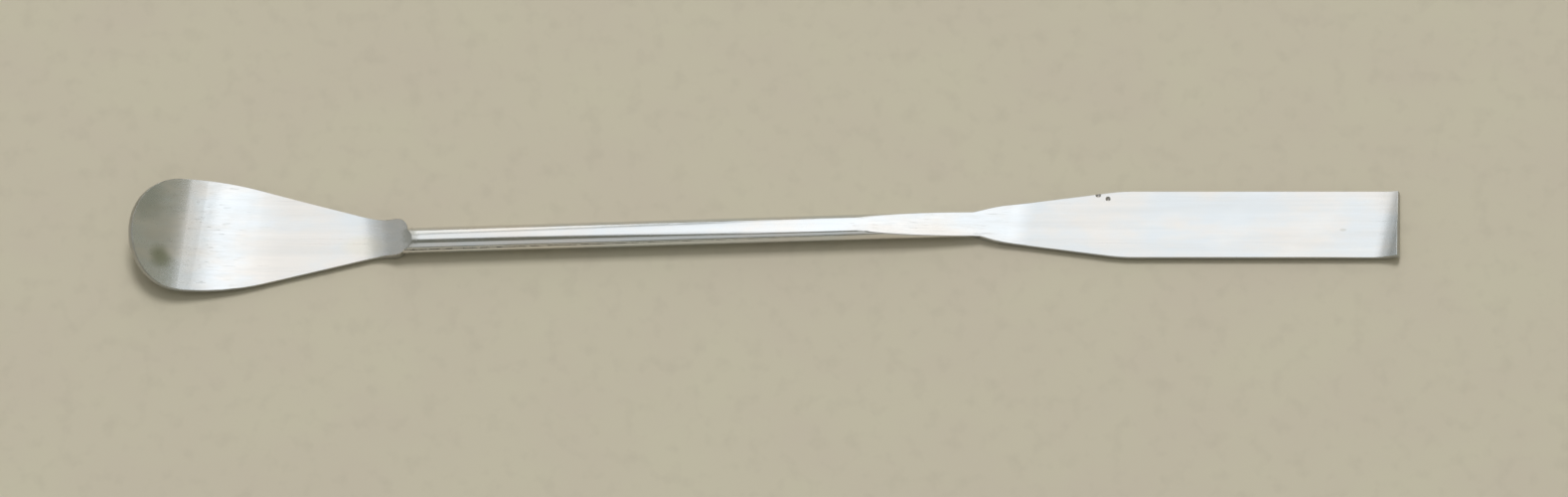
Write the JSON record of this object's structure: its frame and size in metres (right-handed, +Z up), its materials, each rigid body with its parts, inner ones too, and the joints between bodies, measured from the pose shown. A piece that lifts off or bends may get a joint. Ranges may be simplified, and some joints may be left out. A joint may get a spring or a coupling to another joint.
{
  "type": "lab spatula",
  "caption": "Slim stainless lab spatula: a round rod pressed flat at both ends, into a scoop with a lifted lip and a narrow parallel blade.",
  "frame": {"origin": "under the middle of the spatula, on the surface it lies on", "axes": "+X along the length towards the blade, +Y across, +Z up"},
  "size_m": [0.15, 0.0137, 0.0047],
  "materials": {
    "stainless": "satin stainless steel: fine lengthwise grain on the rod, softly clouded polish on both ends"
  },
  "bodies": {
    "root": {"spatula": "stainless"}
  },
  "joints": []
}
